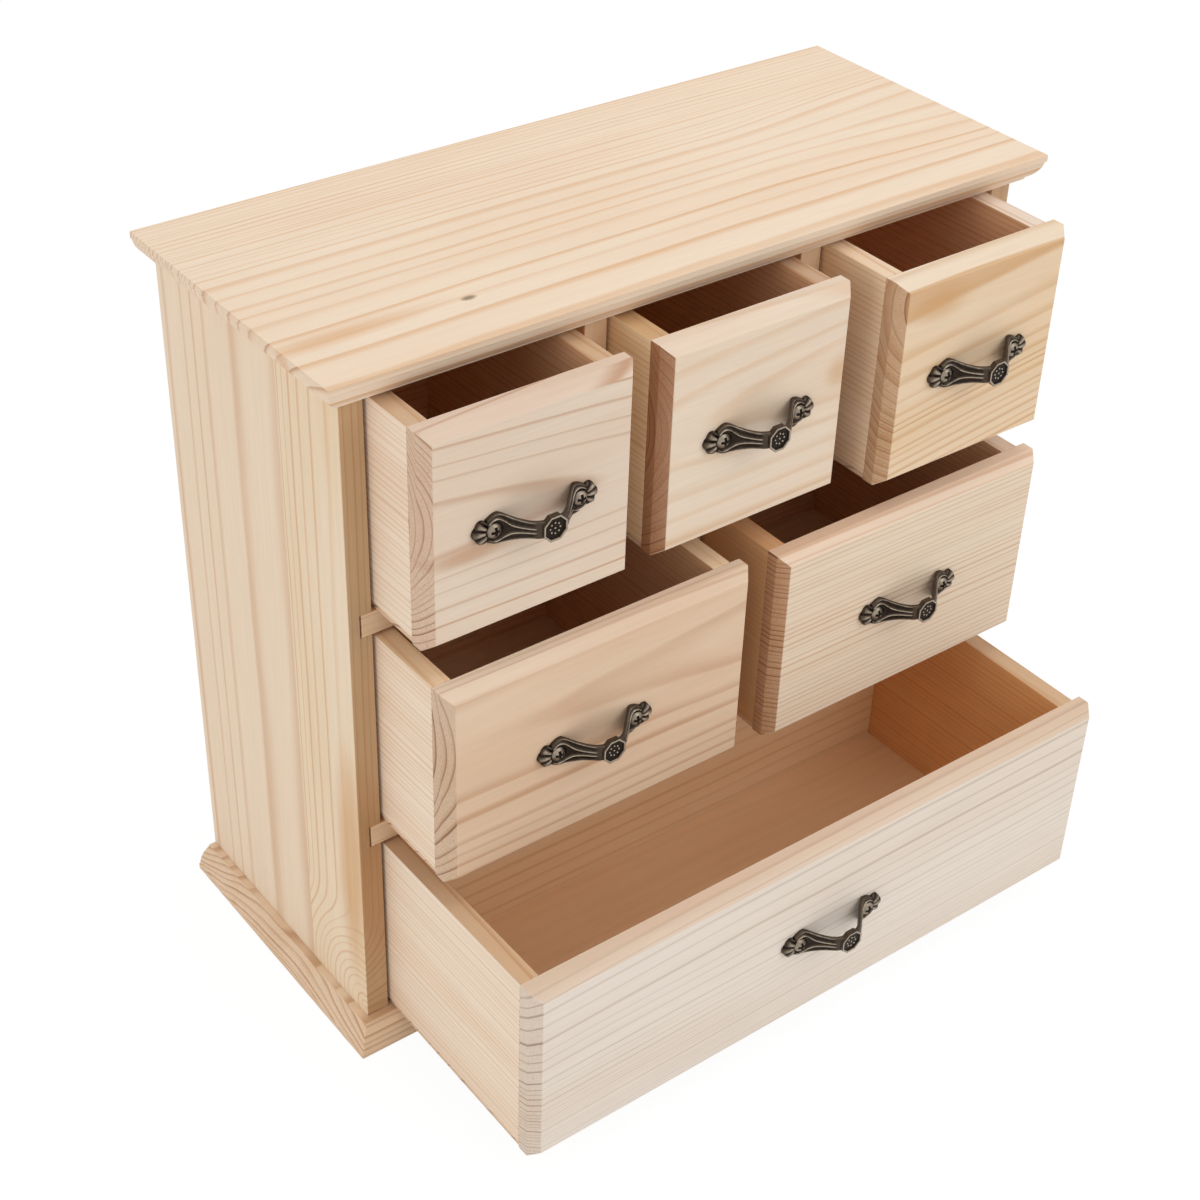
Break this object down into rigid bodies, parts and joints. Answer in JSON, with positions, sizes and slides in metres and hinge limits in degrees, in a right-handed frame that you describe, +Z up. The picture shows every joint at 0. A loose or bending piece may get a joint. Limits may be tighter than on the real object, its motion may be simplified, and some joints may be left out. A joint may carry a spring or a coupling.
{
  "type": "desktop drawer organizer",
  "caption": "Small bare pine desktop chest with a moulded top and base, rows of inset chamfered drawers that slide out and antique bronze bow pulls.",
  "frame": {"origin": "middle of the carcass footprint, on the underside of the base board", "axes": "+X to the right seen from the front, +Y to the back panel, +Z up; the drawers open towards -Y"},
  "size_m": [0.3, 0.2186, 0.282],
  "materials": {
    "carcass_pine": "bare, sanded",
    "drawer_pine": "bare, sanded",
    "thin_panel": "bare thin board",
    "bronze": "antique bronze, worn bright on the ridges",
    "nail_steel": "plain wire nail"
  },
  "bodies": {
    "cabinet": {"base_board": "carcass_pine", "top_board": "carcass_pine", "left_side_panel": "carcass_pine", "right_side_panel": "carcass_pine", "back_panel": "thin_panel", "back_panel_nails": "nail_steel", "lower_shelf": "carcass_pine", "upper_shelf": "carcass_pine", "top_left_divider": "carcass_pine", "top_right_divider": "carcass_pine", "middle_divider": "carcass_pine"},
    "top_left_drawer": {"top_left_drawer_front": "drawer_pine", "top_left_drawer_left_side": "drawer_pine", "top_left_drawer_right_side": "drawer_pine", "top_left_drawer_back": "drawer_pine", "top_left_drawer_bottom": "thin_panel", "top_left_pull": "bronze", "top_left_pull_screws": "bronze"},
    "top_middle_drawer": {"top_middle_drawer_front": "drawer_pine", "top_middle_drawer_left_side": "drawer_pine", "top_middle_drawer_right_side": "drawer_pine", "top_middle_drawer_back": "drawer_pine", "top_middle_drawer_bottom": "thin_panel", "top_middle_pull": "bronze", "top_middle_pull_screws": "bronze"},
    "top_right_drawer": {"top_right_drawer_front": "drawer_pine", "top_right_drawer_left_side": "drawer_pine", "top_right_drawer_right_side": "drawer_pine", "top_right_drawer_back": "drawer_pine", "top_right_drawer_bottom": "thin_panel", "top_right_pull": "bronze", "top_right_pull_screws": "bronze"},
    "middle_left_drawer": {"middle_left_drawer_front": "drawer_pine", "middle_left_drawer_left_side": "drawer_pine", "middle_left_drawer_right_side": "drawer_pine", "middle_left_drawer_back": "drawer_pine", "middle_left_drawer_bottom": "thin_panel", "middle_left_pull": "bronze", "middle_left_pull_screws": "bronze"},
    "middle_right_drawer": {"middle_right_drawer_front": "drawer_pine", "middle_right_drawer_left_side": "drawer_pine", "middle_right_drawer_right_side": "drawer_pine", "middle_right_drawer_back": "drawer_pine", "middle_right_drawer_bottom": "thin_panel", "middle_right_pull": "bronze", "middle_right_pull_screws": "bronze"},
    "bottom_drawer": {"bottom_drawer_front": "drawer_pine", "bottom_drawer_left_side": "drawer_pine", "bottom_drawer_right_side": "drawer_pine", "bottom_drawer_back": "drawer_pine", "bottom_drawer_bottom": "thin_panel", "bottom_pull": "bronze", "bottom_pull_screws": "bronze"}
  },
  "joints": [
    {"name": "top_left_drawer_slide", "type": "slide", "parent": "cabinet", "child": "top_left_drawer", "axis": [0, -1, 0], "range_m": [-0.031, 0.067]},
    {"name": "top_middle_drawer_slide", "type": "slide", "parent": "cabinet", "child": "top_middle_drawer", "axis": [0, -1, 0], "range_m": [-0.03, 0.068]},
    {"name": "top_right_drawer_slide", "type": "slide", "parent": "cabinet", "child": "top_right_drawer", "axis": [0, -1, 0], "range_m": [-0.04, 0.058]},
    {"name": "middle_left_drawer_slide", "type": "slide", "parent": "cabinet", "child": "middle_left_drawer", "axis": [0, -1, 0], "range_m": [-0.0415, 0.0565]},
    {"name": "middle_right_drawer_slide", "type": "slide", "parent": "cabinet", "child": "middle_right_drawer", "axis": [0, -1, 0], "range_m": [-0.0435, 0.0545]},
    {"name": "bottom_drawer_slide", "type": "slide", "parent": "cabinet", "child": "bottom_drawer", "axis": [0, -1, 0], "range_m": [-0.091, 0.007]}
  ]
}
